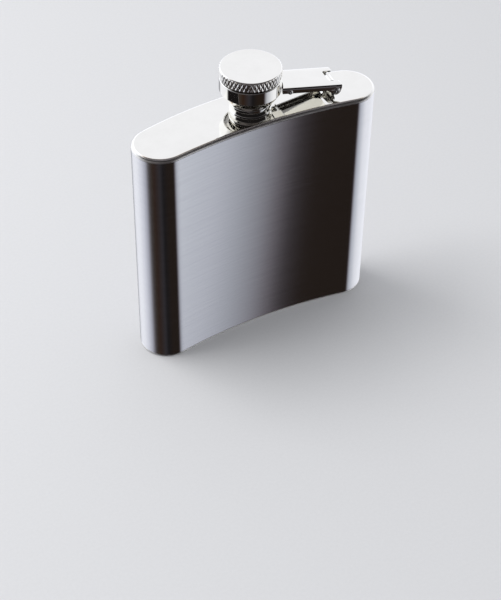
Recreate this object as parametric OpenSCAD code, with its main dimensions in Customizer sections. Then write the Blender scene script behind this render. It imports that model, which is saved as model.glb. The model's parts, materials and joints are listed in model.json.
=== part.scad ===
// Hip flask with a captive screw cap on a hinged lever.
// Frame: origin at the middle of the footprint on the resting face, +Z up, +X to the
// hinge side, +Y to the convex back. Heights named "_up" are above the flask's top plate.

/* [Body] */
// Width of the body across its two round ends
body_w = 94; // [86:1:110]
// Height of the body, without the neck and the cap
body_h = 91.7; // [70:0.1:140]
// Diameter of each round end
end_d = 20.3; // [18:0.1:24]
// Radius of the convex back
back_r = 152.8; // [130:0.1:200]
// Radius of the concave front
front_r = 200.9; // [160:0.1:260]
// Thickness of the steel sheet
sheet = 0.8; // [0.5:0.05:1]
// Radius of the rounded rim round the top plate
top_rim_r = 1.3; // [1.1:0.1:1.8]
// Radius of the rounded rim round the bottom plate
bottom_rim_r = 1.1; // [1.1:0.1:1.8]

/* [Neck] */
// Outer diameter of the neck where it leaves the body
neck_d = 14; // [13:0.1:14.4]
// Diameter of the rolled bead round the neck
bead_d = 15.2; // [14.6:0.1:15.6]
// Diameter over the crests of the neck thread
thread_d = 12.6; // [12:0.1:12.6]
// Diameter of the mouth, the free bore through the neck
mouth_d = 10.2; // [8:0.1:10.4]
// Height of the neck's lip
neck_up = 12.2; // [11.8:0.1:12.2]
// Rise of the cap for one turn
pitch = 1.5; // [1:0.1:1.6]
// Number of thread ridges on the neck
ridge_count = 4; // [2:1:4]

/* [Cap] */
// Diameter over the knurl
cap_d = 22; // [22:0.1:23]
// Height of the cap's top face
cap_up = 17; // [16.8:0.1:18]
// Height of the crown's lower edge
crown_low_up = 13.25; // [13.2:0.05:13.4]
// Number of diamonds round the knurl
knurl_count = 46; // [40:1:60]
// Depth of the knurl
knurl_deep = 0.28; // [0.1:0.02:0.3]
// Outer diameter of the liner's tube
liner_d = 16; // [15.9:0.1:16]
// Thickness of the sealing disc
seal_thick = 1.2; // [0.8:0.1:1.4]

/* [Collar] */
// Outer diameter of the collar
collar_d = 21.8; // [21.4:0.1:21.8]
// Height of the collar's lower edge
collar_low_up = 5.7; // [5.6:0.1:5.8]
// Height of the collar's upper edge
collar_top_up = 12.9; // [12.7:0.1:12.9]
// Width of the lug that carries the collar pin
lug_w = 5; // [4:0.5:10]

/* [Lever] */
// Turn of the lever towards the front, so that it follows the curved body
lever_yaw = 6; // [4:0.5:8]
// Width of the lever
lever_w = 12.6; // [11:0.1:13]
// Thickness of the lever's sheet
lever_sheet = 0.6; // [0.5:0.05:0.6]
// Depth of the lever's side flanges
flange_deep = 2.2; // [2:0.1:2.4]
// Distance from the neck's axis to the bracket pin
hinge_out = 30.3; // [29.5:0.1:31]
// Height of the bracket pin
hinge_up = 3.2; // [3.2:0.1:3.5]
// Distance from the neck's axis to the collar pin
ring_out = 12.5; // [12.5:0.1:12.8]
// Height of the collar pin
ring_up = 7; // [6.9:0.1:7.1]
// Diameter of the bracket pin
hinge_pin_d = 1.6; // [1.4:0.1:1.8]
// Diameter of the collar pin
ring_pin_d = 1; // [0.9:0.1:1]

/* [Hidden] */
$fn = 96;

brushed = [0.63, 0.64, 0.67];
polished = [0.86, 0.87, 0.89];
pin_steel = [0.75, 0.76, 0.78];
seal_white = [0.92, 0.91, 0.88];
washer_white = [0.85, 0.85, 0.83];

press_gap = 0.02;                                   // between parts pressed together
turn_gap = 0.05;                                    // round a pin that turns
free_gap = 0.3;                                     // between faces that pass each other

// Plan outline: two round ends, a convex back arc and a concave front arc
end_r = end_d / 2;
end_x = body_w / 2 - end_r;
back_centre = sqrt(pow(back_r - end_r, 2) - pow(end_x, 2));
front_centre = sqrt(pow(front_r + end_r, 2) - pow(end_x, 2));
back_y = back_r - back_centre;
front_y = front_r - front_centre;
plan_shift = (back_y - end_r) / 2;                  // brings the footprint's middle to y = 0
neck_y = (back_y + front_y) / 2 - plan_shift;
arc_steps = 36;
end_steps = 20;

function arc(centre, radius, from, to, steps) =
    [for (i = [0 : steps - 1]) let (a = from + (to - from) * i / steps)
        centre + radius * [cos(a), sin(a)]];

// Outline moved inwards by inset; the four arcs keep their centres
function outline(inset) =
    let (back_a = atan(end_x / back_centre), front_a = atan(end_x / front_centre),
         ends = [0, -plan_shift])
    concat(
        arc([0, -back_centre - plan_shift], back_r - inset, 90 + back_a, 90 - back_a, arc_steps),
        arc(ends + [end_x, 0], end_r - inset, 90 - back_a, -90 - front_a, end_steps),
        arc([0, -front_centre - plan_shift], front_r + inset, 90 - front_a, 90 + front_a, arc_steps),
        arc(ends - [end_x, 0], end_r - inset, 270 + front_a, 90 + back_a, end_steps));

// Closed solid through a stack of outlines, each given as [inset, height]
module loft(levels) {
    count = len(outline(0));
    last = len(levels) - 1;
    points = [for (level = levels) for (p = outline(level[0])) [p[0], p[1], level[1]]];
    sides = [for (k = [0 : last - 1]) for (i = [0 : count - 1]) let (j = (i + 1) % count)
        for (face = [[k * count + i, k * count + j, (k + 1) * count + j],
                     [k * count + i, (k + 1) * count + j, (k + 1) * count + i]]) face];
    low_cap = [for (i = [0 : count - 1]) count - 1 - i];
    high_cap = [for (i = [0 : count - 1]) last * count + i];
    polyhedron(points, concat(sides, [low_cap, high_cap]));
}

// Pressed plate: flat face up at z = 0, rim rounded down by rim_r, open underneath
module pressed_plate(rim_r) {
    inner_r = rim_r - sheet;
    difference() {
        loft([for (a = [0 : 15 : 90]) [rim_r * (1 - cos(a)), rim_r * (sin(a) - 1)]]);
        loft(concat([[sheet, -rim_r - 1]],
            [for (a = [0 : 30 : 90]) [sheet + inner_r * (1 - cos(a)), inner_r * sin(a) - rim_r]]));
    }
}

module body_shell() {
    color(brushed)
    translate([0, 0, bottom_rim_r])
        linear_extrude(height = body_h - bottom_rim_r - top_rim_r)
            difference() {
                polygon(outline(0));
                polygon(outline(sheet));
            }
}

module top_plate() {
    color(polished)
    difference() {
        translate([0, 0, body_h]) pressed_plate(top_rim_r);
        translate([0, neck_y, body_h - 5]) cylinder(r = neck_d / 2 + press_gap, h = 10);
    }
}

module bottom_plate() {
    color(polished)
    mirror([0, 0, 1]) pressed_plate(bottom_rim_r);
}

// Places children at the neck's axis, on the top plate
module on_plate() translate([0, neck_y, body_h]) children();

// The same, turned so that +X runs along the lever towards the bracket
module along_lever() on_plate() rotate([0, 0, -lever_yaw]) children();

// Extrudes a side view, drawn in X and Z, over the width from -w/2 to w/2
module side_slab(w) translate([0, w / 2, 0]) rotate([90, 0, 0]) linear_extrude(height = w) children();

module cross_pin_hole(x, z, r) translate([x, 10, z]) rotate([90, 0, 0]) cylinder(r = r, h = 20);

// Neck: flange under the plate, plain foot with a rolled bead, threaded spout
thread_r = thread_d / 2;
root_r = thread_r - 0.4;
thread_low_up = 6.3;

module neck() {
    flange_r = neck_d / 2 + 1.4;
    ridges = [for (i = [0 : ridge_count - 1]) let (z = thread_low_up + i * pitch)
        for (p = [[root_r, z], [thread_r, z + 0.35], [thread_r, z + 0.65], [root_r, z + 1]]) p];
    color(polished)
    on_plate() rotate_extrude()
        polygon(concat(
            [[mouth_d / 2, -2 * sheet], [flange_r, -2 * sheet], [flange_r, -sheet],
             [neck_d / 2, -sheet], [neck_d / 2, 2], [bead_d / 2, 2.5], [bead_d / 2, 3.3],
             [neck_d / 2, 3.8], [neck_d / 2, 4.8], [root_r, 5.6]],
            ridges,
            [[root_r, neck_up - 0.2], [root_r - 0.2, neck_up], [mouth_d / 2, neck_up]]));
}

// Bracket: a welded block, rounded over the pin that the lever turns on
bracket_w = 4;
knuckle_r = 1.65;

module bracket() {
    toe_up = 0.5;
    heel_up = 1.9;
    left = hinge_out - 3.2;
    right = hinge_out + 1.3;
    color(polished)
    along_lever() difference() {
        side_slab(bracket_w) union() {
            polygon([[left - 0.5, 0], [right + 0.4, 0], [right, toe_up], [right, hinge_up],
                     [hinge_out, hinge_up + 1], [hinge_out - 1.1, hinge_up + 1],
                     [left, heel_up], [left, toe_up]]);
            translate([hinge_out, hinge_up]) circle(r = knuckle_r);
        }
        cross_pin_hole(hinge_out, hinge_up, hinge_pin_d / 2 + turn_gap);
    }
}

// The lever has its own frame: origin on the bracket pin, X along its flat top
ring_drop = 1.65;                                   // collar pin below the flat top
hinge_drop = 2.3;                                   // bracket pin below the flat top
pin_span = norm([hinge_out - ring_out, ring_up - hinge_up]);
lever_slope = atan((ring_up - hinge_up) / (hinge_out - ring_out))
            - asin((hinge_drop - ring_drop) / pin_span);
ring_x = -sqrt(pow(pin_span, 2) - pow(hinge_drop - ring_drop, 2));
ring_z = hinge_drop - ring_drop;
lever_end_x = 1.9;
notch_x = -2.05;
notch_w = 6.3;
web_cut_r = collar_d / 2 + 0.45;                    // hollow end that hugs the collar

module in_lever() along_lever() translate([hinge_out, 0, hinge_up])
    rotate([0, lever_slope, 0]) children();

module lever_side() {
    low = hinge_drop - flange_deep;
    polygon([[ring_x - 5, hinge_drop], [ring_x - 5, low], [-3.6, low], [-1.3, -0.95], [0, -1.2],
             [1.35, -0.8], [lever_end_x, 0.6], [lever_end_x, hinge_drop]]);
    circle(r = 1.7);
    translate([ring_x, ring_z]) circle(r = 0.9);
}

module lever() {
    inside_w = lever_w - 2 * lever_sheet;
    color(polished)
    difference() {
        in_lever() difference() {
            side_slab(lever_w) lever_side();
            translate([ring_x - 6, -inside_w / 2, -3])
                cube([30, inside_w, 3 + hinge_drop - lever_sheet]);
            translate([notch_x, -notch_w / 2, -3]) cube([8, notch_w, 8]);
            cross_pin_hole(0, 0, hinge_pin_d / 2 + press_gap);
            cross_pin_hole(ring_x, ring_z, ring_pin_d / 2 + press_gap);
        }
        on_plate() translate([0, 0, -1]) cylinder(r = web_cut_r, h = 25);
    }
}

// Rivet across the lever, with a low head on each side
module rivet(d, head_d, head_thick) {
    half = lever_w / 2;
    rotate([90, 0, 0]) rotate_extrude()
        polygon([[0, -half - head_thick], [head_d * 0.3, -half - head_thick],
                 [head_d / 2, -half - head_thick * 0.3], [head_d / 2, -half], [d / 2, -half],
                 [d / 2, half], [head_d / 2, half], [head_d / 2, half + head_thick * 0.3],
                 [head_d * 0.3, half + head_thick], [0, half + head_thick]]);
}

module bracket_pin() color(pin_steel) in_lever() rivet(hinge_pin_d, 2.6, 0.45);

module collar_pin() color(pin_steel)
    in_lever() translate([ring_x, 0, ring_z]) rivet(ring_pin_d, 1.7, 0.3);

// Collar: the cap turns in its upper ring; the lug at one side hangs on the collar pin
collar_bore_r = 9;
ledge_up = 10.9;
lug_r = 0.9;

module collar() {
    outer = collar_d / 2;
    color(polished)
    along_lever() difference() {
        union() {
            rotate_extrude()
                polygon([[0, collar_low_up], [outer - 1.55, collar_low_up], [outer, 8.2],
                         [outer, collar_top_up - 0.3], [outer - 0.3, collar_top_up],
                         [0, collar_top_up]]);
            translate([outer - 4, -lug_w / 2, ring_up - 0.8])
                cube([ring_out - outer + 4, lug_w, 1.6]);
            side_slab(lug_w) translate([ring_out, ring_up]) circle(r = lug_r);
        }
        translate([0, 0, collar_low_up - 1])
            cylinder(r = collar_bore_r, h = ledge_up - collar_low_up + 1);
        cylinder(r = liner_d / 2 + 0.08, h = 20);
        cross_pin_hole(ring_out, ring_up, ring_pin_d / 2 + turn_gap);
    }
}

// Liner: threaded tube with a solid head, widening downwards so that the cap tips clear
liner_low_up = 6;
seal_low_up = neck_up + 0.05;
seal_top_up = seal_low_up + seal_thick;
head_low_up = crown_low_up + 0.25;
crown_top_thick = 1;
head_top_up = cap_up - crown_top_thick;
head_r = 9.4;
liner_top_bore_r = thread_r + 0.3;

module cap_liner() {
    wide_bore_r = liner_top_bore_r + 0.85;
    lip_r = liner_d / 2 + 0.4;
    color(polished)
    on_plate() rotate_extrude()
        polygon([[wide_bore_r, liner_low_up], [lip_r, liner_low_up], [lip_r, liner_low_up + 0.25],
                 [liner_d / 2, liner_low_up + 0.25], [liner_d / 2, head_low_up],
                 [head_r, head_low_up], [head_r, head_top_up], [0, head_top_up],
                 [0, seal_top_up], [liner_top_bore_r, seal_top_up],
                 [liner_top_bore_r, neck_up + 0.2]]);
}

module cap_seal() color(seal_white)
    on_plate() translate([0, 0, seal_low_up])
        cylinder(r = liner_top_bore_r - press_gap, h = seal_thick);

// Snap ring at the foot of the liner, open at one side, which holds the cap in the collar
ring_low_up = liner_low_up + 0.25;
ring_thick = 0.8;

module retaining_ring() color(pin_steel)
    on_plate() difference() {
        translate([0, 0, ring_low_up]) cylinder(r = collar_bore_r - 0.2, h = ring_thick);
        cylinder(r = liner_d / 2 + press_gap, h = 20);
        translate([-12, -1, 0]) cube([12, 2, 20]);
    }

// Washer between the snap ring and the collar's ledge; it rises with the cap
module slip_washer() color(washer_white)
    on_plate() translate([0, 0, ring_low_up + ring_thick + turn_gap]) difference() {
        cylinder(r = collar_bore_r - 0.08, h = 0.4);
        translate([0, 0, -1]) cylinder(r = liner_d / 2 + 0.1, h = 3);
    }

// Crown: the part that the fingers turn, with a band of diamond knurling. The band is a closed
// ring of five rounds of corners: three over its height, outside, and two inside the crown
module diamonds(root, tip_r, low, high) {
    cols = 2 * knurl_count;
    rounds_up = [low, (low + high) / 2, high, high, low];
    inner_r = root - 0.6;
    points = [for (j = [0 : 4]) for (i = [0 : cols - 1])
        let (a = i * 180 / knurl_count, r = j > 2 ? inner_r : (i + j) % 2 == 0 ? root : tip_r)
            [r * cos(a), r * sin(a), rounds_up[j]]];
    // Each cell is folded along the groove, which joins its two low corners
    cells = [for (j = [0 : 4]) for (i = [0 : cols - 1])
        let (below = j * cols, above = (j + 1) % 5 * cols, next = (i + 1) % cols,
             a = below + i, b = below + next, c = above + i, d = above + next)
            for (face = (i + j) % 2 == 0 ? [[a, c, d], [a, d, b]] : [[a, c, b], [c, d, b]]) face];
    polyhedron(points, cells);
}

module cap_crown() {
    tip_r = cap_d / 2;
    root = tip_r - knurl_deep;
    core = root - 0.08;
    shoulder = 0.3;
    lower_edge = 0.25;
    plain = 0.05;                                   // left smooth above and below the diamonds
    color(polished)
    on_plate() difference() {
        union() {
            rotate_extrude()
                polygon([[0, crown_low_up], [core - lower_edge, crown_low_up],
                         [core, crown_low_up + lower_edge], [core, cap_up - shoulder],
                         [core - 0.3 * shoulder, cap_up - 0.3 * shoulder],
                         [core - shoulder, cap_up], [0, cap_up]]);
            diamonds(root, tip_r, crown_low_up + lower_edge + plain, cap_up - shoulder - plain);
        }
        translate([0, 0, crown_low_up - 1])
            cylinder(r = head_r + press_gap, h = head_top_up - crown_low_up + 1);
    }
}

body_shell();
top_plate();
bottom_plate();
neck();
bracket();
lever();
bracket_pin();
collar_pin();
collar();
slip_washer();
cap_crown();
cap_liner();
retaining_ring();
cap_seal();
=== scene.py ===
"""Looks of the hip flask: brushed kidney-shaped body, mirror-polished plates, knurled captive cap.

Lengths are in millimetres and become metres when a mesh is made. Heights named UP are above the top plate.
The floor, the light and the heights of bumps are in metres.
"""
import json
import math

import bmesh
import bpy
from mathutils import Matrix, Quaternion, Vector
from mathutils.geometry import delaunay_2d_cdt


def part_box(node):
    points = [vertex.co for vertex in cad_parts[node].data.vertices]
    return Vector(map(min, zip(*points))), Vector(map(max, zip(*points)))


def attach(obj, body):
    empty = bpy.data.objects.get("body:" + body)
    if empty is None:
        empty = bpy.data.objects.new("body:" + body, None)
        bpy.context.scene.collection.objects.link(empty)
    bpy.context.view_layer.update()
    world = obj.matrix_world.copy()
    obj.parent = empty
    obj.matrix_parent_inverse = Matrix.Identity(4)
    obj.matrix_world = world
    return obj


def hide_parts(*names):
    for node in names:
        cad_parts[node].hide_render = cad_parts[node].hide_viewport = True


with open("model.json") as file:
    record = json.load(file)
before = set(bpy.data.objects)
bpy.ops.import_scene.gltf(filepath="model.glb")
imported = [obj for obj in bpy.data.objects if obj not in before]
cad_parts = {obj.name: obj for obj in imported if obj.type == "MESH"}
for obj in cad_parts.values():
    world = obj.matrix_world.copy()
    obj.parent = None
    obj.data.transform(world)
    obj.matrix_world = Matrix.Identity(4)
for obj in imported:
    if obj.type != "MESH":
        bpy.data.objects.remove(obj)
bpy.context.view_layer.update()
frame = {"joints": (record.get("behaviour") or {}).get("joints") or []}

MM = 0.001
SHARP_ANGLE = 40
EDGE_STEPS = 5


def box_mm(node):
    low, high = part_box(node)
    return low / MM, high / MM


def middle(node):
    low, high = box_mm(node)
    return (low + high) / 2


# Body, in plan: two round ends, a convex back and a concave front
BODY_W = 94
END_D = 20.3
BACK_R = 152.8
FRONT_R = 200.9
SHEET = 0.8
SEAM_R = 0.12

END_R = END_D / 2
END_X = BODY_W / 2 - END_R
BACK_CENTRE = math.sqrt((BACK_R - END_R) ** 2 - END_X ** 2)
FRONT_CENTRE = math.sqrt((FRONT_R + END_R) ** 2 - END_X ** 2)
PLAN_SHIFT = (BACK_R - BACK_CENTRE - END_R) / 2

# Heights of the body's edges and of the plates' flat faces
WALL_LOW, WALL_HIGH = (corner.z for corner in box_mm("body_shell"))
PLATE_Z = box_mm("top_plate")[1].z

# Neck and cap share one upright axis
NECK_AXIS = Matrix.Translation((middle("neck").x, middle("neck").y, PLATE_Z))
NECK_R = 7
BEAD_R = 7.6
MOUTH_R = 5.1
THREAD_R = 6.3
THREAD_DEEP = 0.4
THREAD_PITCH = 1.5
THREAD_STEEP = 2.2
NECK_UP = box_mm("neck")[1].z - PLATE_Z
CROWN_R = 11
CROWN_UP = box_mm("cap_crown")[1].z - PLATE_Z
CROWN_LOW_UP = box_mm("cap_crown")[0].z - PLATE_Z
CROWN_THICK = 1
COLLAR_R = 10.9
COLLAR_UP = box_mm("collar")[1].z - PLATE_Z
COLLAR_LOW_UP = box_mm("collar")[0].z - PLATE_Z
COLLAR_BORE_R = 9
LUG_W = 5
LINER_R = 8
LINER_HEAD_R = 9.4
LINER_LOW_UP = box_mm("cap_liner")[0].z - PLATE_Z
KNURL_COUNT = 46
KNURL_DEEP = 0.28
POINTS_PER_DIAMOND = 24
PRESS_GAP = 0.02
PIN_GAP = 0.05

# Lever frame: origin on the bracket pin, X along the flat top, Y along the pin
JOINTS = {joint["name"]: joint for joint in frame["joints"]}
HINGE = Vector(JOINTS["lever_swing"]["pos_m"]) / MM
RING = Vector(JOINTS["collar_tilt"]["pos_m"]) / MM
PIN_AXIS = Vector(JOINTS["lever_swing"]["axis"]).normalized()
LEVER_OUT = PIN_AXIS.cross(Vector((0, 0, 1)))
HINGE_DROP = 2.3
RING_DROP = 1.65
RING_BOSS_R = 0.9
PIN_SPAN = (HINGE - RING).length
LEVER_SLOPE = math.asin((RING.z - HINGE.z) / PIN_SPAN) - math.asin((HINGE_DROP - RING_DROP) / PIN_SPAN)
RING_X = -math.sqrt(PIN_SPAN ** 2 - (HINGE_DROP - RING_DROP) ** 2)
RING_Z = HINGE_DROP - RING_DROP
HINGE_OUT = (HINGE - NECK_AXIS.translation).dot(LEVER_OUT)
LEVER_W = 12.6
LEVER_SHEET = 0.6
COLLAR_GAP = 0.45
BRACKET_W = 4
BRACKET_PIN_D = 1.6
COLLAR_PIN_D = 1.0


def frame_at(origin, x_axis, y_axis):
    """Matrix that carries a local frame to the given origin and axes."""
    z_axis = x_axis.cross(y_axis)
    columns = Matrix((x_axis, y_axis, z_axis)).transposed().to_4x4()
    return Matrix.Translation(origin) @ columns


BRACKET_FRAME = frame_at(Vector((*NECK_AXIS.translation.xy, PLATE_Z)), LEVER_OUT, PIN_AXIS)
LEVER_FRAME = frame_at(HINGE, Quaternion(PIN_AXIS, LEVER_SLOPE) @ LEVER_OUT, PIN_AXIS)
RING_FRAME = LEVER_FRAME @ Matrix.Translation((RING_X, 0, RING_Z))
ALONG_PIN = Matrix.Rotation(math.radians(-90), 4, "X")


# ---------------------------------------------------------------- outlines


def arc(centre, radius, start, end, steps):
    """Points of an arc, both ends included. Angles are in degrees."""
    turns = [math.radians(start + (end - start) * i / steps) for i in range(steps + 1)]
    return [Vector((centre[0] + radius * math.cos(t), centre[1] + radius * math.sin(t))) for t in turns]


def circle(centre, radius, steps):
    """Points of a full circle."""
    return arc(centre, radius, 0, 360, steps)[:-1]


def rounded(corners, steps=5):
    """Outline through (x, y, radius) corners, each rounded by an arc of its radius.

    The corners form a loop, so each end of an open outline is rounded as if it met the other end.
    """
    outline = []
    for i, (x, y, radius) in enumerate(corners):
        here = Vector((x, y))
        if radius == 0:
            outline.append(here)
            continue
        back = (Vector(corners[i - 1][:2]) - here).normalized()
        ahead = (Vector(corners[(i + 1) % len(corners)][:2]) - here).normalized()
        half = back.angle(ahead) / 2
        centre = here + (back + ahead).normalized() * (radius / math.sin(half))
        first = here + back * (radius / math.tan(half)) - centre
        last = here + ahead * (radius / math.tan(half)) - centre
        turn = first.angle_signed(last)
        outline += [centre + Matrix.Rotation(-turn * k / steps, 2) @ first for k in range(steps + 1)]
    return outline


def turned(outline, anticlockwise):
    """The outline in the direction asked for."""
    area = sum(a.x * b.y - b.x * a.y for a, b in zip(outline, outline[1:] + outline[:1]))
    return outline if (area > 0) == anticlockwise else outline[::-1]


def outward(outline):
    """At each point of an anticlockwise outline, the step that moves its sides out by 1.

    The step at a sharp corner is cut to twice that.
    """
    steps = []
    for before, here, after in zip(outline[-1:] + outline[:-1], outline, outline[1:] + outline[:1]):
        first, second = (here - before).normalized(), (after - here).normalized()
        along = (first + second).normalized()
        steps.append(Vector((along.y, -along.x)) / max(0.5, along.dot(first)))
    return steps


def split_at(outline, levels):
    """The outline with a point wherever it crosses one of the lines y = level."""
    result = []
    for here, after in zip(outline, outline[1:] + outline[:1]):
        result.append(here)
        cuts = [((level - here.y) / (after.y - here.y), level)
                for level in levels if (here.y - level) * (after.y - level) < 0]
        result += [Vector((here.x + (after.x - here.x) * t, level)) for t, level in sorted(cuts)]
    return result


def inside(point, outline):
    """True if a point is inside a closed outline."""
    odd = False
    for a, b in zip(outline, outline[1:] + outline[:1]):
        if (a.y > point.y) != (b.y > point.y):
            if point.x < a.x + (b.x - a.x) * (point.y - a.y) / (b.y - a.y):
                odd = not odd
    return odd


def plan(inset):
    """The body's outline in plan, moved inwards by inset."""
    side_steps, end_steps = 96, 40
    back_a = math.degrees(math.atan(END_X / BACK_CENTRE))
    front_a = math.degrees(math.atan(END_X / FRONT_CENTRE))
    back, front, ends = (0, -BACK_CENTRE - PLAN_SHIFT), (0, -FRONT_CENTRE - PLAN_SHIFT), -PLAN_SHIFT
    return (arc(back, BACK_R - inset, 90 + back_a, 90 - back_a, side_steps)[:-1]
            + arc((END_X, ends), END_R - inset, 90 - back_a, -90 - front_a, end_steps)[:-1]
            + arc(front, FRONT_R + inset, 90 - front_a, 90 + front_a, side_steps)[:-1]
            + arc((-END_X, ends), END_R - inset, 270 + front_a, 90 + back_a, end_steps)[:-1])


# ---------------------------------------------------------------- meshes


class Skin:
    """Points and faces of one closed mesh, in millimetres."""

    def __init__(self):
        self.points, self.faces, self.corner_uv = [], [], {}

    def ring(self, points):
        """Adds points and returns their numbers."""
        first = len(self.points)
        self.points += [Vector(p) for p in points]
        return list(range(first, len(self.points)))

    def strip(self, ring_a, ring_b):
        """Joins two closed rings of equal length. A ring of one point is a pole."""
        count = max(len(ring_a), len(ring_b))
        for i in range(count):
            j = (i + 1) % count
            corners = [ring_a[i % len(ring_a)], ring_a[j % len(ring_a)],
                       ring_b[j % len(ring_b)], ring_b[i % len(ring_b)]]
            self.faces.append(list(dict.fromkeys(corners)))

    def tube(self, rings, closed=False):
        """Joins each ring to the next, and the last to the first if closed."""
        for ring_a, ring_b in zip(rings, rings[1:] + (rings[:1] if closed else [])):
            self.strip(ring_a, ring_b)

    def fill(self, loops, flat, lines=()):
        """Covers the region inside the first loop and outside the others, with an edge along each line."""
        order = [i for loop in loops for i in loop]
        place = {n: k for k, n in enumerate(order)}
        spots = [flat[n] for n in order]
        edges = [(place[a], place[b]) for loop in loops for a, b in zip(loop, loop[1:] + loop[:1])]
        edges += [(place[a], place[b]) for a, b in lines]
        found, _, triangles, *_ = delaunay_2d_cdt(spots, edges, [], 0, 1e-6)
        if len(found) != len(spots):
            raise ValueError("the outline of a flat region crosses itself")
        shapes = [[flat[n] for n in loop] for loop in loops]
        for triangle in triangles:
            centre = sum((found[k] for k in triangle), Vector((0, 0))) / 3
            if inside(centre, shapes[0]) and not any(inside(centre, hole) for hole in shapes[1:]):
                self.faces.append([order[k] for k in triangle])


def finish_mesh(mesh):
    """Makes faces point outwards and smooths all but the sharp edges."""
    work = bmesh.new()
    work.from_mesh(mesh)
    bmesh.ops.recalc_face_normals(work, faces=work.faces)
    work.to_mesh(mesh)
    work.free()
    mesh.shade_smooth()
    mesh.set_sharp_from_angle(angle=math.radians(SHARP_ANGLE))


def new_piece(name, skin, place, body, slot, material, *nodes):
    """Puts a skin in the scene as a piece that rides on a body and stands for CAD nodes."""
    mesh = bpy.data.meshes.new(name)
    mesh.from_pydata([(place @ p) * MM for p in skin.points], [], skin.faces)
    if skin.corner_uv:
        layer = mesh.uv_layers.new(name="UVMap")
        for loop in mesh.loops:
            layer.data[loop.index].uv = skin.corner_uv[loop.vertex_index]
    finish_mesh(mesh)
    piece = bpy.data.objects.new(name, mesh)
    bpy.context.scene.collection.objects.link(piece)
    piece.modifiers.new("normals", "WEIGHTED_NORMAL").keep_sharp = True
    mesh.materials.append(material)
    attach(piece, body)
    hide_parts(*nodes)


def lathe(profile, segments, radius=lambda r, up, turn: r):
    """Solid of revolution about Z. A profile that starts and ends on the axis is closed by it."""
    skin = Skin()
    turns = [2 * math.pi * k / segments for k in range(segments)]
    rings = []
    for r, up in profile:
        if r < 1e-6:
            rings.append(skin.ring([(0, 0, up)]))
        else:
            spread = [(radius(r, up, t), t) for t in turns]
            rings.append(skin.ring([(far * math.cos(t), far * math.sin(t), up) for far, t in spread]))
    skin.tube(rings, closed=profile[0][0] > 1e-6)
    return skin


def sheet_part(outline, holes, thick, shape, edge, bends=()):
    """Part cut from a sheet, with edges rounded to the radius edge.

    shape(x, y, depth) carries the flat pattern into space. bends are the lines y = bend that it folds along.
    """
    skin = Skin()
    ring_loops, flat = [], {}
    turns = [math.radians(90 * k / EDGE_STEPS) for k in range(EDGE_STEPS + 1)]
    offsets = [(edge * math.sin(a), edge * (1 - math.cos(a))) for a in turns]
    offsets += [(out, thick - depth) for out, depth in reversed(offsets)]
    for loop, is_outer in [(outline, True)] + [(hole, False) for hole in holes]:
        loop = turned(loop, is_outer)
        loop = [p - step * edge for p, step in zip(loop, outward(loop))]
        loop = split_at(loop, bends)
        steps = outward(loop)
        rings = [skin.ring([shape(*(p + step * out), depth) for p, step in zip(loop, steps)])
                 for out, depth in offsets]
        skin.tube(rings)
        flat.update({n: p for ring in (rings[0], rings[-1]) for n, p in zip(ring, loop)})
        ring_loops.append(rings)
    for side in (0, -1):
        loops = [rings[side] for rings in ring_loops]
        lines = []
        for level in bends:
            cut = sorted((flat[n].x, n) for loop in loops for n in loop if abs(flat[n].y - level) < 1e-5)
            lines += [(a[1], b[1]) for a, b in zip(cut, cut[1:])]
        skin.fill(loops, flat, lines)
    return skin


def slab(width):
    """Shape of a part whose side view is the outline, in X and Z, and whose width is along Y."""
    return lambda x, z, depth: (x, width / 2 - depth, z)


# ---------------------------------------------------------------- materials


def feed(tree, socket, value):
    """Gives a socket a number, a colour or another node's output."""
    if isinstance(value, tuple):
        socket.default_value = (*value, 1)
    elif isinstance(value, (int, float)):
        socket.default_value = value
    else:
        tree.links.new(value, socket)


def ramp(tree, value, stops):
    """Colour ramp with (position, colour) stops."""
    made = tree.nodes.new("ShaderNodeValToRGB")
    elements = made.color_ramp.elements
    for position, colour in stops[1:-1]:
        elements.new(position).color = (*colour, 1)
    for element, (position, colour) in zip((elements[0], elements[-1]), (stops[0], stops[-1])):
        element.position, element.color = position, (*colour, 1)
    tree.links.new(value, made.inputs["Fac"])
    return made.outputs["Color"]


def math_node(tree, operation, *values):
    made = tree.nodes.new("ShaderNodeMath")
    made.operation = operation
    for socket, value in zip(made.inputs, values):
        feed(tree, socket, value)
    return made.outputs[0]


def mix(tree, factor, first, second, blend="MIX"):
    made = tree.nodes.new("ShaderNodeMix")
    made.data_type, made.blend_type = "RGBA", blend
    # A Mix node's colours are its inputs 6 and 7 and its output 2
    for place, value in ((0, factor), (6, first), (7, second)):
        feed(tree, made.inputs[place], value)
    return made.outputs[2]


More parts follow.
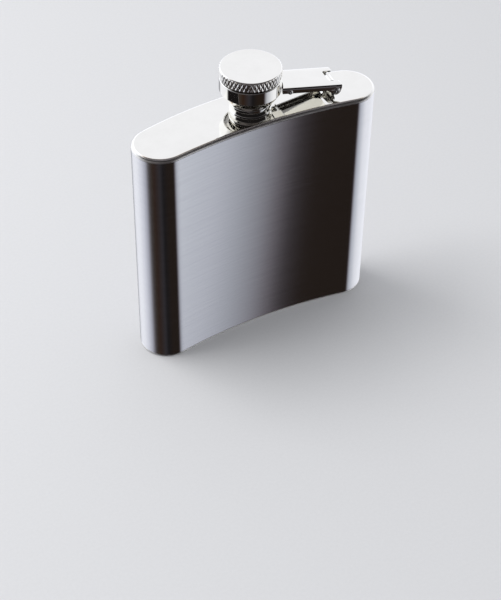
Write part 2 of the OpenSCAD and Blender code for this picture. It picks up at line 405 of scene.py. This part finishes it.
class Surface:
    """A Principled material and the node tree round it."""

    def __init__(self, name, colour, roughness, metallic=1.0):
        self.material = bpy.data.materials.new(name)
        self.material.use_nodes = True
        self.tree = self.material.node_tree
        self.shader = self.tree.nodes["Principled BSDF"]
        self.shader.inputs["Metallic"].default_value = metallic
        self.shader.inputs["Base Color"].default_value = (*colour, 1)
        self.shader.inputs["Roughness"].default_value = roughness

    def node(self, kind, **values):
        made = self.tree.nodes.new(kind)
        for key, value in values.items():
            if key in made.inputs:
                made.inputs[key].default_value = value
            else:
                setattr(made, key, value)
        return made

    def coords(self, source, stretch):
        """Texture coordinates of a source ("Object" or "UV"), scaled by stretch per metre."""
        texture = self.node("ShaderNodeTexCoord")
        mapping = self.node("ShaderNodeMapping", Scale=stretch)
        self.tree.links.new(texture.outputs[source], mapping.inputs["Vector"])
        return mapping.outputs["Vector"]

    def noise(self, coords, detail, roughness):
        texture = self.node("ShaderNodeTexNoise", Scale=1.0, Detail=detail, Roughness=roughness)
        self.tree.links.new(coords, texture.inputs["Vector"])
        return texture.outputs["Fac"]

    def spread(self, value, low, high, start, end):
        """Carries a texture value from start..end to low..high."""
        made = self.node("ShaderNodeMapRange")
        for key, number in zip(("From Min", "From Max", "To Min", "To Max"), (start, end, low, high)):
            made.inputs[key].default_value = number
        self.tree.links.new(value, made.inputs["Value"])
        return made.outputs["Result"]

    def tint(self, value, colours, start=0.3, end=0.7):
        """Colour between two colours, by a texture value."""
        colour = ramp(self.tree, value, ((start, colours[0]), (end, colours[1])))
        self.tree.links.new(colour, self.shader.inputs["Base Color"])

    def rough(self, value, low, high, start=0.3, end=0.7):
        """Roughness from low to high, by a texture value."""
        self.tree.links.new(self.spread(value, low, high, start, end), self.shader.inputs["Roughness"])

    def relief(self, value, height):
        """Bump of the given height in metres."""
        bump = self.node("ShaderNodeBump", Strength=1.0, Distance=height)
        self.tree.links.new(value, bump.inputs["Height"])
        self.tree.links.new(bump.outputs["Normal"], self.shader.inputs["Normal"])


POLISHED = (0.83, 0.815, 0.765)
POLISHED_WORN = (0.80, 0.785, 0.735)
SATIN_EXTRA = 0.28
BRUSHED = (0.745, 0.745, 0.745)
BRUSHED_DARK = (0.69, 0.69, 0.695)


def brushed_steel():
    """Sheet brushed along the body: streaks run along U, round the body."""
    steel = Surface("brushed_steel", BRUSHED, 0.17)
    steel.shader.inputs["Anisotropic"].default_value = 1.0
    tangent = steel.node("ShaderNodeTangent", direction_type="UV_MAP", uv_map="UVMap")
    steel.tree.links.new(tangent.outputs["Tangent"], steel.shader.inputs["Tangent"])
    steel.shader.inputs["Anisotropic Rotation"].default_value = 0.25
    streaks = steel.noise(steel.coords("UV", (45, 5200, 1)), 4, 0.65)
    bands = steel.noise(steel.coords("UV", (25, 1500, 1)), 4, 0.7)
    steel.tint(bands, (BRUSHED_DARK, BRUSHED), 0.35, 0.65)
    steel.rough(bands, 0.15, 0.19)
    steel.relief(streaks, 0.0000012)
    return steel.material


def polished_steel(name, worn, scratch, dents=0.0, satin=None):
    """Buffed steel: faint cloudiness, hairlines from handling and a little waviness.

    worn is its roughness, scratch the hairlines to a metre and dents the height of the waves in metres.
    satin names two heights; the finish turns from polished at the first to satin at the second.
    """
    steel = Surface(name, POLISHED, worn)
    clouds = steel.noise(steel.coords("Object", (160, 160, 160)), 4, 0.6)
    hairlines = steel.noise(steel.coords("Object", (scratch / 20, scratch, scratch)), 2, 0.5)
    steel.tint(clouds, (POLISHED_WORN, POLISHED), 0.25, 0.6)
    steel.rough(hairlines, worn, worn + 0.035, 0.45, 0.75)
    if dents:
        steel.relief(steel.noise(steel.coords("Object", (90, 90, 90)), 1, 0.4), dents)
    if satin:
        height = steel.node("ShaderNodeSeparateXYZ")
        steel.tree.links.new(steel.coords("Object", (1, 1, 1)), height.inputs[0])
        polished = steel.shader.inputs["Roughness"].links[0].from_socket
        extra = steel.spread(height.outputs["Z"], 0, SATIN_EXTRA, satin[0] * MM, satin[1] * MM)
        steel.tree.links.new(math_node(steel.tree, "ADD", polished, extra), steel.shader.inputs["Roughness"])
    return steel.material


def tumbled_steel():
    """Rivets and springs: satin from tumbling, with fine pits."""
    steel = Surface("tumbled_steel", (0.7, 0.69, 0.66), 0.22)
    pits = steel.noise(steel.coords("Object", (2600, 2600, 2600)), 3, 0.6)
    steel.tint(pits, ((0.62, 0.61, 0.58), (0.74, 0.73, 0.7)))
    steel.rough(pits, 0.16, 0.3)
    steel.relief(pits, 0.000008)
    return steel.material


def matte_polymer(name, light, dark, roughness):
    """Moulded plastic or silicone, faintly mottled."""
    polymer = Surface(name, light, roughness, metallic=0.0)
    mottle = polymer.noise(polymer.coords("Object", (1400, 1400, 1400)), 4, 0.55)
    polymer.tint(mottle, (dark, light))
    polymer.rough(mottle, roughness - 0.06, roughness + 0.08)
    polymer.relief(mottle, 0.00001)
    return polymer.material


# ---------------------------------------------------------------- pieces: body


def sweep(skin, section):
    """One ring of the plan outline for each (inset, z) of a section."""
    return [skin.ring([(p.x, p.y, z) for p in plan(inset)]) for inset, z in section]


def body_wrap(material):
    """Sheet wrap, with its cut edges rounded where they meet the plates."""
    section = rounded([(0, WALL_LOW, SEAM_R), (SHEET, WALL_LOW, SEAM_R),
                       (SHEET, WALL_HIGH, SEAM_R), (0, WALL_HIGH, SEAM_R)])
    skin = Skin()
    rings = sweep(skin, section)
    skin.tube(rings, closed=True)
    outline = plan(0)
    run = [0.0]
    for a, b in zip(outline, outline[1:]):
        run.append(run[-1] + (b - a).length)
    for ring, (_, z) in zip(rings, section):
        for n, length in zip(ring, run):
            skin.corner_uv[n] = (length * MM, z * MM)
    new_piece("body_wrap", skin, Matrix(), "flask", "brushed_wrap", material, "body_shell")


def pressed_plate(name, node, rim_r, up, material, hole=None):
    """Plate with a rim rounded down to the wrap. up is 1 for the top and -1 for the bottom.

    hole is the centre, the radius and the edge's radius of a round hole.
    """
    low, high = box_mm(node)
    face_z = high.z if up > 0 else low.z
    flat_inset = rim_r + 0.3
    section = [(flat_inset, 0)]
    section += arc((rim_r, -rim_r), rim_r, 90, 180, 14)[:-1]
    section += arc((SEAM_R, -rim_r + SEAM_R), SEAM_R, 180, 270, 4)
    section += [(SHEET, -rim_r)]
    section += arc((rim_r, -rim_r), rim_r - SHEET, 180, 90, 6)
    section += [(flat_inset, -SHEET)]
    skin = Skin()
    rings = sweep(skin, [(inset, face_z + up * z) for inset, z in section])
    skin.tube(rings)
    loops = [[rings[0]], [rings[-1]]]
    if hole:
        centre, radius, edge = hole
        wall = [(radius + edge, 0)] + arc((radius + edge, -edge), edge, 90, 180, 4)[1:] + [(radius, -SHEET)]
        bore = [skin.ring([(p.x, p.y, face_z + up * z) for p in circle(centre, r, 96)]) for r, z in wall]
        skin.tube(bore)
        loops[0].append(bore[0])
        loops[1].append(bore[-1])
    flat = {n: skin.points[n].xy for side in loops for loop in side for n in loop}
    for side in loops:
        skin.fill(side, flat)
    new_piece(name, skin, Matrix(), "flask", "polished_plate", material, node)


# ---------------------------------------------------------------- pieces: neck and cap


def thread_wave(up, turn):
    """Height of a helical thread at a height and turn, from 0 at its root to 1 at its crest."""
    phase = (up / THREAD_PITCH - turn / (2 * math.pi)) % 1
    return min(1, max(0, 0.5 + THREAD_STEEP * (0.25 - abs(phase - 0.5))))


def fade(value, start, end, length):
    """1 between start and end, falling to 0 over a length outside them."""
    return min(1, max(0, (value - start) / length + 1)) * min(1, max(0, (end - value) / length + 1))


def spaced(start, end, step):
    """Evenly spaced numbers from start to end, about a step apart."""
    count = round(abs(end - start) / step)
    return [start + (end - start) * k / count for k in range(count + 1)]


def neck(material):
    """Spout: flange under the plate, foot with a weld fillet and a rolled bead, helical thread."""
    root_r, flange_r = THREAD_R - THREAD_DEEP, NECK_R + 1.4
    bead_low, bead_high, bead_slope = 2.35, 3.45, 0.4
    thread_low, thread_high, run_out = 6.8, NECK_UP - 1, 0.8
    foot = rounded([
        (MOUTH_R, -2 * SHEET, 0.15), (flange_r, -2 * SHEET, 0.15), (flange_r, -SHEET, 0.15),
        (NECK_R, -SHEET, 0), (NECK_R, 0, 0), (NECK_R + 0.35, 0.02, 0), (NECK_R, 0.4, 0.3),
        (NECK_R, bead_low - bead_slope, 0.3),
        (BEAD_R, bead_low, 0.35), (BEAD_R, bead_high, 0.35), (NECK_R, bead_high + bead_slope, 0.3),
        (NECK_R, 5, 0.4), (root_r, 5.7, 0.3), (root_r, 5.9, 0)])
    shaft = [Vector((root_r, up)) for up in spaced(5.95, NECK_UP - 0.35, 0.075)]
    lip = rounded([(root_r, NECK_UP - 0.4, 0), (root_r, NECK_UP, 0.3), (MOUTH_R, NECK_UP, 0.3),
                   (MOUTH_R, NECK_UP - 1, 0)])[1:]

    def threaded(r, up, turn):
        if abs(r - root_r) > 1e-6:
            return r
        return r + THREAD_DEEP * thread_wave(up, turn) * fade(up, thread_low, thread_high, run_out)

    skin = lathe(foot + shaft + lip, 144, threaded)
    new_piece("neck_spout", skin, NECK_AXIS, "flask", "polished_neck", material, "neck")


def cap_crown(material):
    """Crown with diamond knurling between a rounded shoulder and a smooth lower edge."""
    root_r, lower_edge, shoulder_r = CROWN_R - KNURL_DEEP, 0.3, 0.35
    band_low, band_high, run_out = CROWN_LOW_UP + lower_edge, CROWN_UP - shoulder_r, 0.07
    bore_r, bore_up, bore_edge = LINER_HEAD_R + PRESS_GAP, CROWN_UP - CROWN_THICK, 0.15
    hollow = [Vector((r, bore_up)) for r in (0, 5, bore_r - bore_edge)]
    hollow += [Vector((bore_r, bore_up - bore_edge))]
    foot = rounded([(bore_r, CROWN_LOW_UP + 1, 0), (bore_r, CROWN_LOW_UP, 0.1), (root_r, CROWN_LOW_UP, 0.25),
                    (root_r, band_low, 0)])
    band = [Vector((root_r, up)) for up in spaced(band_low + 0.04, band_high, 0.07)]
    shoulder = arc((root_r - shoulder_r, CROWN_UP - shoulder_r), shoulder_r, 0, 90, 12)[1:]
    top = [Vector((r, CROWN_UP)) for r in (root_r - 1.2, 7, 3, 0)]

    def knurled(r, up, turn):
        if abs(r - root_r) > 1e-6:
            return r
        lean = 2 * math.pi * (up - band_low) / (band_high - band_low)
        rise = min(abs(math.sin((turn * KNURL_COUNT + side * lean) / 2)) for side in (-1, 1))
        return r + KNURL_DEEP * rise * fade(up, band_low + run_out, band_high - run_out, run_out)

    skin = lathe(hollow + foot + band + shoulder + top, KNURL_COUNT * POINTS_PER_DIAMOND, knurled)
    new_piece("cap_crown_knurled", skin, NECK_AXIS, "cap", "polished_cap", material, "cap_crown")


def cap_liner(material):
    """Threaded tube that widens downwards, with a solid head that holds the seal."""
    head_low, head_high = CROWN_LOW_UP + 0.25, CROWN_UP - CROWN_THICK
    seal_up = box_mm("cap_seal")[1].z - PLATE_Z
    lip_r, lip_up = LINER_R + 0.4, LINER_LOW_UP + 0.25
    bore_low, bore_high = LINER_LOW_UP + 0.1, NECK_UP + 0.2
    bore_high_r = THREAD_R + 0.3
    bore_low_r = bore_high_r + 0.85
    groove_deep, groove_low, groove_high, run_out = 0.22, LINER_LOW_UP + 0.7, bore_high - 1, 0.4
    fall = [k / 90 for k in range(91)]
    bore = [Vector((bore_high_r + (bore_low_r - bore_high_r) * t, bore_high + (bore_low - bore_high) * t))
            for t in fall]
    skirt = rounded([
        (bore_low_r, bore_low, 0), (bore_low_r, LINER_LOW_UP, 0.08), (lip_r, LINER_LOW_UP, 0.1),
        (lip_r, lip_up, 0.1), (LINER_R, lip_up, 0), (LINER_R, head_low, 0.3), (LINER_HEAD_R, head_low, 0.15),
        (LINER_HEAD_R, head_high, 0.15), (0, head_high, 0)])
    profile = [Vector((0, seal_up)), Vector((bore_high_r, seal_up))] + bore + skirt[1:]

    def grooved(r, up, turn):
        if not (bore_low < up < bore_high and r < LINER_R - 0.1):
            return r
        return r + groove_deep * thread_wave(up, turn) * fade(up, groove_low, groove_high, run_out)

    skin = lathe(profile, 144, grooved)
    new_piece("cap_liner_threaded", skin, NECK_AXIS, "cap", "polished_cap", material, "cap_liner")


def cap_seal(material):
    """Silicone disc, with the ring that the neck's lip has pressed into it."""
    low, high = (corner.z - PLATE_Z for corner in box_mm("cap_seal"))
    edge_r = (box_mm("cap_seal")[1].x - box_mm("cap_seal")[0].x) / 2
    mark_r, mark_up, corner_r = (MOUTH_R + THREAD_R - THREAD_DEEP) / 2, low + 0.06, 0.15
    profile = [(0, low), (mark_r - 0.6, low), (mark_r - 0.3, mark_up)]
    profile += [(mark_r + 0.3, mark_up), (mark_r + 0.5, low)]
    profile += arc((edge_r - corner_r, low + corner_r), corner_r, -90, 0, 4)
    profile += arc((edge_r - corner_r, high - corner_r), corner_r, 0, 90, 4) + [(0, high)]
    new_piece("cap_seal_disc", lathe(profile, 96), NECK_AXIS, "cap", "seal", material, "cap_seal")


def ring_part(node, inner_r, outer_r, name, body, slot, material, gap=0.0):
    """Flat ring with rounded edges, cut open on the -X side if it has a gap."""
    low, high = (corner.z - PLATE_Z for corner in box_mm(node))

    def flat(x, y, depth):
        return (x, y, high - depth)

    if gap:
        outer_a, inner_a = (math.degrees(math.asin(gap / 2 / r)) for r in (outer_r, inner_r))
        outline = (arc((0, 0), outer_r, 180 + outer_a, 540 - outer_a, 96)
                   + arc((0, 0), inner_r, 540 - inner_a, 180 + inner_a, 96))
        holes = []
    else:
        outline = circle((0, 0), outer_r, 96)
        holes = [circle((0, 0), inner_r, 96)]
    skin = sheet_part(outline, holes, high - low, flat, 0.06)
    new_piece(name, skin, NECK_AXIS, body, slot, material, node)


# ---------------------------------------------------------------- pieces: collar, lever and bracket


def collar(material):
    """Smooth ring under the crown, with the lug that hangs on the collar pin."""
    foot_r, cone_up = COLLAR_R - 1.55, 8.2
    ledge_r, ledge_up = LINER_R + 0.08, COLLAR_UP - 2
    profile = rounded([
        (COLLAR_BORE_R, COLLAR_LOW_UP, 0.12), (foot_r, COLLAR_LOW_UP, 0.15), (COLLAR_R, cone_up, 0.35),
        (COLLAR_R, COLLAR_UP, 0.35), (ledge_r, COLLAR_UP, 0.1), (ledge_r, ledge_up, 0.1),
        (COLLAR_BORE_R, ledge_up, 0.1)], 6)
    skin = lathe(profile, 160)
    new_piece("collar_ring", skin, BRACKET_FRAME, "collar", "polished_cap", material, "collar")
    out, up = (RING - NECK_AXIS.translation).dot(LEVER_OUT), RING.z - PLATE_Z
    root_out, end_out, half_high, end_r = COLLAR_R - 1.6, out - 0.4, 0.8, 0.9
    outline = [Vector((root_out, up - half_high)), Vector((end_out, up - half_high))]
    outline += arc((out, up), end_r, -90, 90, 16)
    outline += [Vector((end_out, up + half_high)), Vector((root_out, up + half_high))]
    hole = circle((out, up), COLLAR_PIN_D / 2 + PIN_GAP, 32)
    lug = sheet_part(outline, [hole], LUG_W, slab(LUG_W), 0.12)
    new_piece("collar_lug", lug, BRACKET_FRAME, "collar", "polished_cap", material, "collar")


def lever(material):
    """Channel pressed from one sheet: flat pattern first, then the bends.

    In the flat pattern, s runs across the sheet from its middle line.
    """
    bend_r = 1.0
    half, top = LEVER_W / 2, HINGE_DROP
    flat_half = half - bend_r
    bend_run = bend_r * math.pi / 2
    bends = [side * (flat_half + bend_run * k / 8) for side in (-1, 1) for k in range(9)]

    def bent(x, s, depth):
        side, run = math.copysign(1, s), abs(s) - flat_half
        if run <= 0:
            return (x, s, top - depth)
        if run < bend_run:
            turn = run / bend_r
            return (x, side * (flat_half + (bend_r - depth) * math.sin(turn)),
                    top - bend_r + (bend_r - depth) * math.cos(turn))
        return (x, side * (half - depth), top - bend_r - (run - bend_run))

    def across(z):
        """Place across the flat pattern of height z on the flange."""
        return flat_half + bend_run + top - bend_r - z

    def hollow_end(s):
        """End of the sheet, cut round the collar."""
        _, y, z = bent(0, s, 0)
        reach = math.sqrt((COLLAR_R + COLLAR_GAP) ** 2 - y * y)
        return (reach - HINGE_OUT - z * math.sin(LEVER_SLOPE)) / math.cos(LEVER_SLOPE)

    flange_s = across(0.1)
    notch_x, notch_half, end_x, ear_r = -2.05, 3.15, 1.9, 1.7
    ear_s, ring_s = across(0), across(RING_Z)
    ring_dx = math.sqrt(RING_BOSS_R ** 2 - (flange_s - ring_s) ** 2)
    ring_a = math.degrees(math.atan2(flange_s - ring_s, ring_dx))
    side = [Vector((hollow_end(s), s)) for s in spaced(0, flange_s - 0.2, 0.3)][1:]
    side += [Vector((hollow_end(flange_s) + 0.2, flange_s))]
    side += arc((RING_X, ring_s), RING_BOSS_R, 180 - ring_a, ring_a, 10)
    side += rounded([(-6, flange_s, 0), (-3.6, flange_s, 1.2), (-1.45, ear_s + 0.9, 0)], 6)[1:]
    side += arc((0, ear_s), ear_r, 148, 8, 20)
    side += rounded([(ear_r, ear_s, 0), (end_x, across(0.8), 0.3), (end_x, notch_half, 0.6),
                     (notch_x, notch_half, 0.7), (notch_x, 0, 0)], 6)[1:]
    outline = side + [Vector((p.x, -p.y)) for p in reversed(side[:-1])] + [Vector((hollow_end(0), 0))]
    pins = ((0, ear_s, BRACKET_PIN_D), (RING_X, ring_s, COLLAR_PIN_D))
    holes = [circle((x, sign * s), pin_d / 2 + PRESS_GAP, 32) for x, s, pin_d in pins for sign in (-1, 1)]
    skin = sheet_part(outline, holes, LEVER_SHEET, bent, 0.12, bends)
    new_piece("lever_strap", skin, LEVER_FRAME, "lever", "polished_hinge", material, "lever")


def rivet(name, node, place, shank_d, head_d, head_thick, material):
    """Rivet across the lever, with a domed head and a small set mark on each side."""
    half, head_r, shank_r = LEVER_W / 2, head_d / 2, shank_d / 2
    dome = [(0, head_thick * 0.78), (head_r * 0.18, head_thick * 0.82), (head_r * 0.3, head_thick)]
    dome += [(head_r * math.sin(math.radians(a)), head_thick * (0.25 + 0.75 * math.cos(math.radians(a))))
             for a in (30, 42, 54, 66, 78, 90)]
    top = [(r, half + up) for r, up in dome] + [(head_r, half), (shank_r, half)]
    profile = top + [(r, -up) for r, up in reversed(top)]
    new_piece(name, lathe(profile, 48), place @ ALONG_PIN, "lever", "pin_steel", material, node)


def bracket(material):
    """Welded block, rounded over the pin."""
    up, out = HINGE.z - PLATE_Z, HINGE_OUT
    left, right, foot, pin_wall_r = out - 3.2, out + 1.3, 0.5, 1.65
    outline = rounded([(left - foot, 0, 0), (right + 0.4, 0, 0), (right, foot, 0.3), (right, up - 0.6, 0)], 4)
    outline += arc((out, up), pin_wall_r, -25, 150, 24)
    outline += rounded([(out - 1.7, up + 0.3, 0), (left, 1.9, 0.5), (left, 0.6, 0.4),
                        (left - foot, 0, 0)], 4)[1:-1]
    hole = circle((out, up), BRACKET_PIN_D / 2 + PIN_GAP, 40)
    skin = sheet_part(outline, [hole], BRACKET_W, slab(BRACKET_W), 0.15)
    new_piece("hinge_bracket", skin, BRACKET_FRAME, "flask", "polished_hinge", material, "bracket")


# ---------------------------------------------------------------- studio


def make_camera():
    """Camera above and to the left of the front, looking down at the flask."""
    azimuth, elevation, roll = (math.radians(a) for a in (-29.41, 42.44, 0.89))
    distance, target = 583.6, Vector((-0.9, -2.4, 4.1)) * MM
    back = Vector((math.sin(azimuth) * math.cos(elevation), -math.cos(azimuth) * math.cos(elevation),
                   math.sin(elevation)))
    data = bpy.data.cameras.new("camera")
    data.lens, data.sensor_width = 90.63, 36
    camera = bpy.data.objects.new("camera", data)
    camera.location = target + back * distance * MM
    camera.rotation_mode = "QUATERNION"
    camera.rotation_quaternion = (-back).to_track_quat("-Z", "Y") @ Quaternion((0, 0, 1), roll)
    bpy.context.scene.collection.objects.link(camera)
    bpy.context.scene.camera = camera


def around(tree, x, y):
    """Place of the direction x, y on a ramp that runs once round the flask."""
    return math_node(tree, "MULTIPLY_ADD", math_node(tree, "ARCTAN2", y, x), 1 / (2 * math.pi), 0.5)


def walls(tree, turn, stops):
    """Ramp that runs once round the flask, with (bearing, colour) stops."""
    return ramp(tree, turn, [(bearing / 360 + 0.5, colour) for bearing, colour in stops])


WHITE = (1.06, 1.08, 1.16)
BRIGHT = (1.4, 1.45, 1.6)
DARK = (0.02, 0.014, 0.011)
BLACK = (0.012, 0.011, 0.012)
CEILING = (0.16, 0.15, 0.165)
GROUND = (0.03, 0.028, 0.03)
ROOM = (0.62, 0.63, 0.65)

# Walls of the studio, as (bearing, colour). Bearings are in degrees from +X towards +Y: -90 is the front
LOW_WALLS = [
    (-180, (0.46, 0.47, 0.55)), (-170, (0.12, 0.11, 0.12)), (-162, (0.05, 0.04, 0.035)),
    (-145, (0.033, 0.018, 0.012)), (-123, (0.034, 0.031, 0.036)), (-110, BLACK), (-90, DARK), (-67.5, DARK),
    (-63.8, (0.045, 0.038, 0.042)), (-61, (0.16, 0.145, 0.165)), (-58.2, (0.29, 0.29, 0.33)),
    (-53.5, (0.45, 0.47, 0.53)), (-48.5, (0.6, 0.62, 0.7)), (-42, (0.68, 0.71, 0.79)),
    (-25, (0.93, 0.95, 1.03)), (5, WHITE), (38, WHITE), (60, (0.5, 0.51, 0.55)), (78, (0.2, 0.2, 0.22)),
    (90, (0.45, 0.46, 0.5)), (104, WHITE), (135, WHITE), (160, (0.81, 0.83, 0.94)), (180, (0.46, 0.47, 0.55))]
MIDDLE_WALLS = [
    (-180, (0.3, 0.3, 0.32)), (-160, (0.2, 0.19, 0.2)), (-117, (0.13, 0.12, 0.13)),
    (-85, (0.05, 0.045, 0.05)), (-62, (0.09, 0.085, 0.095)), (-32, (0.16, 0.15, 0.165)), (-8, WHITE),
    (45, BRIGHT), (140, BRIGHT), (155, WHITE), (180, (0.3, 0.3, 0.32))]
HIGH_WALLS = [
    (-180, BLACK), (-22, BLACK), (-2, WHITE), (70, WHITE), (90, BRIGHT), (145, BRIGHT), (153, BLACK),
    (180, BLACK)]

# Where they meet, as (height, share). Heights run from 0, straight down, to 1, straight up. The share is the
# ground's in DEEP, and in the others that of what lies above the height
DEEP = [(0.03, (1, 1, 1)), (0.06, (0, 0, 0))]
HORIZON = [(0.38, (0, 0, 0)), (0.44, (1, 1, 1))]
SKY = [(0.64, (0, 0, 0)), (0.7, (1, 1, 1))]
ROOF = [(0.91, (0, 0, 0)), (0.935, (1, 1, 1))]
# Tint of the walls just below the ceiling, as (height, tint)
WARM = [(0.895, (1, 1, 1)), (0.925, (0.88, 0.7, 0.52))]

# Square of the level part of the directions that the upright front mirrors
MIRRORED_LEVEL = 0.553
FLOOR_REACH = 4


def make_world():
    """Plain pale room for the eye. Glossy rays see a studio, white behind and to the right, dark in front."""
    world = bpy.data.worlds.new("studio")
    world.use_nodes = True
    world.cycles.sampling_method = "NONE"
    bpy.context.scene.world = world
    tree = world.node_tree
    coords = tree.nodes.new("ShaderNodeTexCoord")
    axes = tree.nodes.new("ShaderNodeSeparateXYZ")
    tree.links.new(coords.outputs["Generated"], axes.inputs[0])
    x, y, z = (axes.outputs[axis] for axis in "XYZ")
    # At the front right the low walls depend on X alone, which brushed steel keeps when it scatters up and
    # down: there Y becomes -sqrt(MIRRORED_LEVEL - X squared)
    x_squared = math_node(tree, "MULTIPLY", x, x)
    level = math_node(tree, "MAXIMUM", math_node(tree, "SUBTRACT", MIRRORED_LEVEL, x_squared), 0)
    straight = math_node(tree, "MULTIPLY", math_node(tree, "SQRT", level), -1)
    front_right = math_node(tree, "MULTIPLY", math_node(tree, "GREATER_THAN", x, 0),
                            math_node(tree, "LESS_THAN", y, 0))
    offset = math_node(tree, "SUBTRACT", straight, y)
    low_y = math_node(tree, "MULTIPLY_ADD", front_right, offset, y)
    low = walls(tree, around(tree, x, low_y), LOW_WALLS)
    turn = around(tree, x, y)
    middle_walls = walls(tree, turn, MIDDLE_WALLS)
    high = walls(tree, turn, HIGH_WALLS)
    climb = math_node(tree, "MULTIPLY_ADD", z, 0.5, 0.5)
    deep, horizon, sky, roof, warm = (
        ramp(tree, climb, stops) for stops in (DEEP, HORIZON, SKY, ROOF, WARM))
    upper = mix(tree, 1, mix(tree, sky, middle_walls, high), warm, "MULTIPLY")
    seen = mix(tree, horizon, mix(tree, deep, low, GROUND), mix(tree, roof, upper, CEILING))
    path = tree.nodes.new("ShaderNodeLightPath")
    colour = mix(tree, path.outputs["Is Glossy Ray"], ROOM, seen)
    tree.links.new(colour, tree.nodes["Background"].inputs["Color"])


def make_floor():
    """Pale seamless floor. Polished steel sees the studio's walls instead of it."""
    mesh = bpy.data.meshes.new("floor")
    far = FLOOR_REACH
    mesh.from_pydata([(-far, -far, 0), (far, -far, 0), (far, far, 0), (-far, far, 0)], [], [(0, 1, 2, 3)])
    floor = bpy.data.objects.new("floor", mesh)
    bpy.context.scene.collection.objects.link(floor)
    paper = Surface("paper", (0.7, 0.7, 0.71), 0.9, metallic=0.0)
    grain = paper.noise(paper.coords("Object", (900, 900, 900)), 3, 0.6)
    paper.tint(grain, ((0.69, 0.69, 0.7), (0.71, 0.71, 0.72)))
    mesh.materials.append(paper.material)
    floor.visible_glossy = False


def make_lights():
    """One large soft light high at the back left, which the polished steel doesn't show."""
    data = bpy.data.lights.new("key", "AREA")
    data.shape, data.size, data.size_y, data.energy = "RECTANGLE", 0.7, 0.5, 6.5
    key = bpy.data.objects.new("key", data)
    key.location = (-0.45, 0.35, 0.9)
    key.rotation_mode = "QUATERNION"
    key.rotation_quaternion = (-key.location).to_track_quat("-Z", "Y")
    key.visible_glossy = False
    bpy.context.scene.collection.objects.link(key)


# ---------------------------------------------------------------- scene

make_camera()
make_world()
make_floor()
make_lights()
bpy.context.scene.view_settings.view_transform = "Standard"

# Height of the waves in the plates, and how far below their faces the polish ends and the satin begins
PLATE_WAVES = 0.000004
RIM_BRIGHT, RIM_SATIN = 0.03, 0.25

wrap_steel = brushed_steel()
top_steel = polished_steel("top_steel", 0.04, 900, PLATE_WAVES, (PLATE_Z - RIM_BRIGHT, PLATE_Z - RIM_SATIN))
bottom_steel = polished_steel("bottom_steel", 0.04, 900, PLATE_WAVES, (RIM_BRIGHT, RIM_SATIN))
cap_steel = polished_steel("cap_steel", 0.045, 1500)
hinge_steel = polished_steel("hinge_steel", 0.05, 1200)
pin_steel = tumbled_steel()
silicone = matte_polymer("silicone", (0.88, 0.87, 0.84), (0.8, 0.79, 0.76), 0.5)
nylon = matte_polymer("nylon", (0.82, 0.82, 0.8), (0.74, 0.74, 0.72), 0.42)

body_wrap(wrap_steel)
pressed_plate("top_plate_pressed", "top_plate", rim_r=1.3, up=1, material=top_steel,
              hole=(NECK_AXIS.translation, NECK_R + PRESS_GAP, 0.1))
pressed_plate("bottom_plate_pressed", "bottom_plate", rim_r=1.1, up=-1, material=bottom_steel)
neck(cap_steel)
cap_crown(cap_steel)
cap_liner(cap_steel)
cap_seal(silicone)
ring_part("retaining_ring", LINER_R + PRESS_GAP, 8.8, "snap_ring", "cap", "pin_steel", pin_steel, gap=2)
ring_part("slip_washer", LINER_R + 0.1, 8.92, "nylon_washer", "slip_washer", "washer", nylon)
collar(cap_steel)
lever(hinge_steel)
rivet("bracket_rivet", "bracket_pin", LEVER_FRAME, BRACKET_PIN_D, 2.6, 0.45, pin_steel)
rivet("collar_rivet", "collar_pin", RING_FRAME, COLLAR_PIN_D, 1.7, 0.3, pin_steel)
bracket(hinge_steel)
